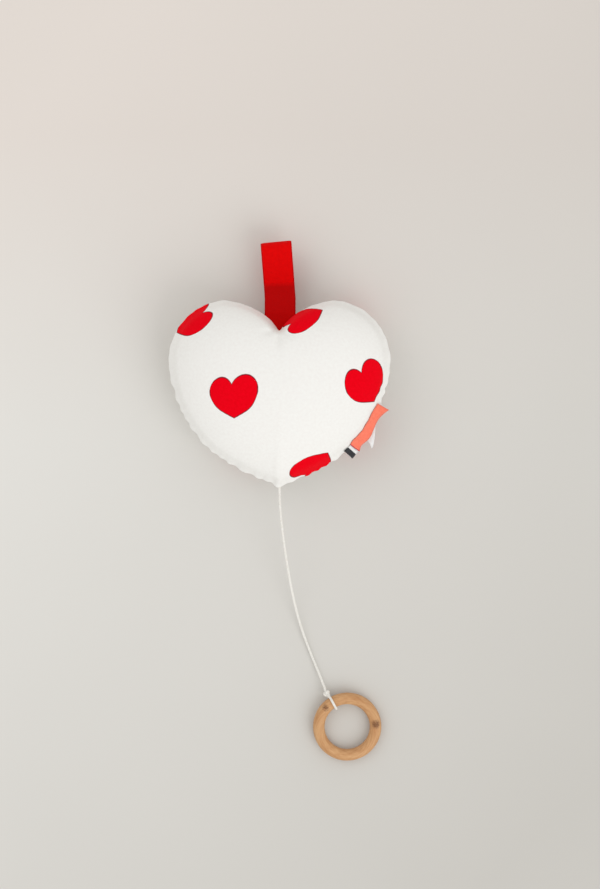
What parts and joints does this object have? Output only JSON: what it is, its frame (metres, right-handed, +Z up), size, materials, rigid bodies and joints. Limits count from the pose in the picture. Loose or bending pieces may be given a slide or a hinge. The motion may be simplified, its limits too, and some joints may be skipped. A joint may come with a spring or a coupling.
{
  "type": "musical pull toy",
  "caption": "Stuffed heart-shaped musical soft toy with a webbing hanging loop, a pull cord and a wooden ring that wind the movement sewn inside it.",
  "frame": {"origin": "middle of the flat patch on the back of the heart that the toy lies on, level with the surface", "axes": "+Z up out of the toy's front, +Y from the tip of the heart to the hanging loop, +X to the right seen from the front"},
  "size_m": [0.1812, 0.4236, 0.072],
  "materials": {
    "cotton": "white woven cotton with a red heart print",
    "filling": "white fibre filling",
    "webbing": "red woven webbing",
    "ribbon": "coral ribbon, left blank",
    "tape": "white care tape, left blank",
    "case": "moulded plastic",
    "bush": "moulded eyelet",
    "plate": "zinc plate",
    "comb": "spring steel",
    "steel": "turned steel",
    "spring": "blued spring steel",
    "moulding": "natural nylon",
    "gear": "natural acetal",
    "brass": "brass",
    "cord": "white braided cord",
    "wood": "untreated beech"
  },
  "bodies": {
    "heart": {"front_panel": "cotton", "back_panel": "cotton", "stuffing": "filling", "hanging_loop": "webbing", "side_label": "ribbon", "care_label": "tape", "case_back": "case", "case_front": "case", "case_screws": "steel", "cord_bush": "bush", "base_plate": "plate", "top_plate": "plate", "tone_comb": "comb", "plate_screws": "steel", "comb_screws": "steel", "bracket_screws": "steel", "spool_arbor": "steel", "governor_bracket": "moulding", "cord_lead": "cord"},
    "spool": {"cord_spool": "moulding", "spring_cover": "moulding", "mainspring": "spring", "cord_winding": "cord", "ratchet_wheel": "steel"},
    "drive_wheel": {"great_wheel": "gear", "click_spring": "steel"},
    "cylinder": {"tune_cylinder": "brass", "cylinder_cap": "brass", "cylinder_gear": "gear", "cylinder_arbor_pin": "steel"},
    "governor": {"governor_wheel": "gear", "governor_arbor": "steel"},
    "fan": {"governor_worm": "gear", "fan_shaft": "steel", "governor_fan": "moulding"},
    "pull": {"pull_cord": "cord", "cord_knot": "cord"},
    "ring": {"wooden_ring": "wood"}
  },
  "joints": [
    {"name": "pull_slide", "type": "slide", "parent": "heart", "child": "pull", "axis": [0, -1, 0], "range_m": [-0.1, 0.04], "deforming": ["pull_cord"]},
    {"name": "ring_tilt", "type": "hinge", "parent": "pull", "child": "ring", "pos_m": [0.04303, -0.26582, 0.007], "axis": [-0.8517, -0.524, 0], "range_deg": [0, 120]},
    {"name": "spool_spin", "type": "hinge", "parent": "heart", "child": "spool", "pos_m": [-0.00925, -0.011, 0.034], "axis": [0, 0, 1], "range_deg": [-250, 622], "deforming": ["cord_winding"]},
    {"name": "cylinder_spin", "type": "hinge", "parent": "heart", "child": "cylinder", "pos_m": [0.00684, 0.0025, 0.034], "axis": [0, 0, 1], "continuous": true},
    {"name": "drive_wheel_spin", "type": "hinge", "parent": "heart", "child": "drive_wheel", "pos_m": [-0.00925, -0.011, 0.034], "axis": [0, 0, 1], "continuous": true},
    {"name": "governor_spin", "type": "hinge", "parent": "heart", "child": "governor", "pos_m": [0.00234, 0.01029, 0.0436], "axis": [0, 0, 1], "continuous": true},
    {"name": "fan_spin", "type": "hinge", "parent": "heart", "child": "fan", "pos_m": [0.00234, 0.01689, 0.0446], "axis": [1, 0, 0], "continuous": true}
  ],
  "couplings": [
    {"joint": "spool_spin", "follows": "pull_slide", "rad_per_m": -108.11},
    {"joint": "drive_wheel_spin", "follows": "cylinder_spin", "ratio": -0.4},
    {"joint": "governor_spin", "follows": "cylinder_spin", "ratio": -2},
    {"joint": "fan_spin", "follows": "cylinder_spin", "ratio": -48}
  ]
}
